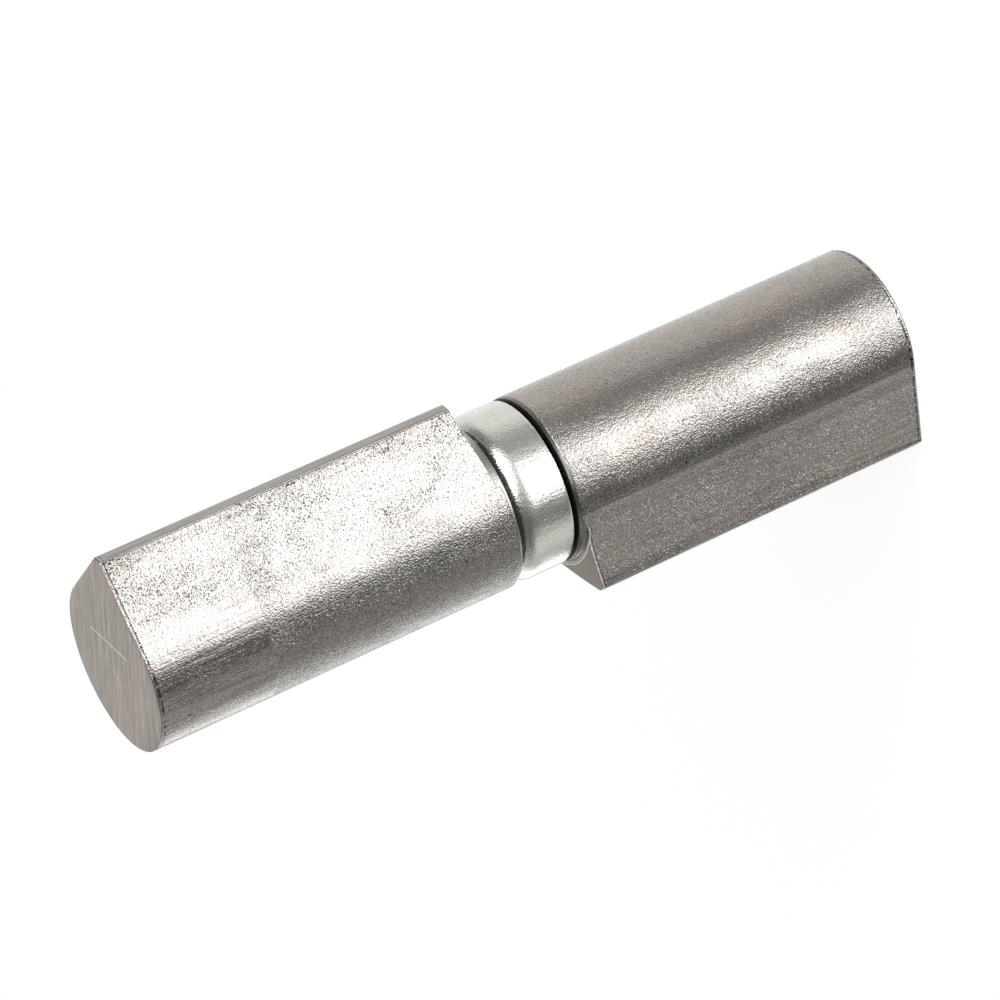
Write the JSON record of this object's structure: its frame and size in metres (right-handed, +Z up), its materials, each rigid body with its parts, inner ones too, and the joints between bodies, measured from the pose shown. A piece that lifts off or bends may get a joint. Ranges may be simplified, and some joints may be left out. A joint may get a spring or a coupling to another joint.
{
  "type": "weld-on barrel hinge",
  "caption": "Lift-off barrel hinge with drop-shaped leaves for welding, a fixed pin and a shrouded ball thrust bearing between the leaves.",
  "frame": {"origin": "on the pin axis, in the sawn end face of the lower leaf", "axes": "+Z up the pin axis from the lower leaf to the upper leaf, +X from the pin axis toward the nose of the lower leaf's drop profile"},
  "size_m": [0.0203, 0.0166, 0.08],
  "materials": {
    "bare_steel": "bare drawn mild steel, finely mottled",
    "pin_steel": "ground steel",
    "zinc_plate": "bright zinc plate",
    "race_steel": "hardened and ground",
    "cage_brass": "stamped",
    "ball_steel": "polished"
  },
  "bodies": {
    "fixed_leaf": {"lower_leaf": "bare_steel", "hinge_pin": "pin_steel", "lower_race": "race_steel"},
    "turning_bearing": {"bearing_shroud": "zinc_plate", "upper_race": "race_steel"},
    "lifting_leaf": {"upper_leaf": "bare_steel"},
    "cage": {"ball_cage": "cage_brass"},
    "ball_01": {"ball_01": "ball_steel"},
    "ball_02": {"ball_02": "ball_steel"},
    "ball_03": {"ball_03": "ball_steel"},
    "ball_04": {"ball_04": "ball_steel"},
    "ball_05": {"ball_05": "ball_steel"},
    "ball_06": {"ball_06": "ball_steel"},
    "ball_07": {"ball_07": "ball_steel"},
    "ball_08": {"ball_08": "ball_steel"}
  },
  "joints": [
    {"name": "swing", "type": "hinge", "parent": "fixed_leaf", "child": "turning_bearing", "pos_m": [0, 0, 0.04], "axis": [0, 0, 1], "continuous": true},
    {"name": "lift_off", "type": "slide", "parent": "turning_bearing", "child": "lifting_leaf", "axis": [0, 0, 1], "range_m": [0, 0.03]},
    {"name": "cage_turn", "type": "hinge", "parent": "fixed_leaf", "child": "cage", "pos_m": [0, 0, 0.0397], "axis": [0, 0, 1], "continuous": true},
    {"name": "ball_01_roll", "type": "hinge", "parent": "cage", "child": "ball_01", "pos_m": [0.00568, 0, 0.0397], "axis": [1, 0, 0], "continuous": true},
    {"name": "ball_02_roll", "type": "hinge", "parent": "cage", "child": "ball_02", "pos_m": [0.00401, 0.00401, 0.0397], "axis": [0.7071, 0.7071, 0], "continuous": true},
    {"name": "ball_03_roll", "type": "hinge", "parent": "cage", "child": "ball_03", "pos_m": [0, 0.00568, 0.0397], "axis": [0, 1, 0], "continuous": true},
    {"name": "ball_04_roll", "type": "hinge", "parent": "cage", "child": "ball_04", "pos_m": [-0.00401, 0.00401, 0.0397], "axis": [-0.7071, 0.7071, 0], "continuous": true},
    {"name": "ball_05_roll", "type": "hinge", "parent": "cage", "child": "ball_05", "pos_m": [-0.00568, 0, 0.0397], "axis": [-1, 0, 0], "continuous": true},
    {"name": "ball_06_roll", "type": "hinge", "parent": "cage", "child": "ball_06", "pos_m": [-0.00401, -0.00401, 0.0397], "axis": [-0.7071, -0.7071, 0], "continuous": true},
    {"name": "ball_07_roll", "type": "hinge", "parent": "cage", "child": "ball_07", "pos_m": [0, -0.00568, 0.0397], "axis": [0, -1, 0], "continuous": true},
    {"name": "ball_08_roll", "type": "hinge", "parent": "cage", "child": "ball_08", "pos_m": [0.00401, -0.00401, 0.0397], "axis": [0.7071, -0.7071, 0], "continuous": true}
  ],
  "couplings": [
    {"joint": "cage_turn", "follows": "swing", "ratio": 0.5},
    {"joint": "ball_01_roll", "follows": "swing", "ratio": -3.2602},
    {"joint": "ball_02_roll", "follows": "swing", "ratio": -3.2602},
    {"joint": "ball_03_roll", "follows": "swing", "ratio": -3.2602},
    {"joint": "ball_04_roll", "follows": "swing", "ratio": -3.2602},
    {"joint": "ball_05_roll", "follows": "swing", "ratio": -3.2602},
    {"joint": "ball_06_roll", "follows": "swing", "ratio": -3.2602},
    {"joint": "ball_07_roll", "follows": "swing", "ratio": -3.2602},
    {"joint": "ball_08_roll", "follows": "swing", "ratio": -3.2602}
  ]
}
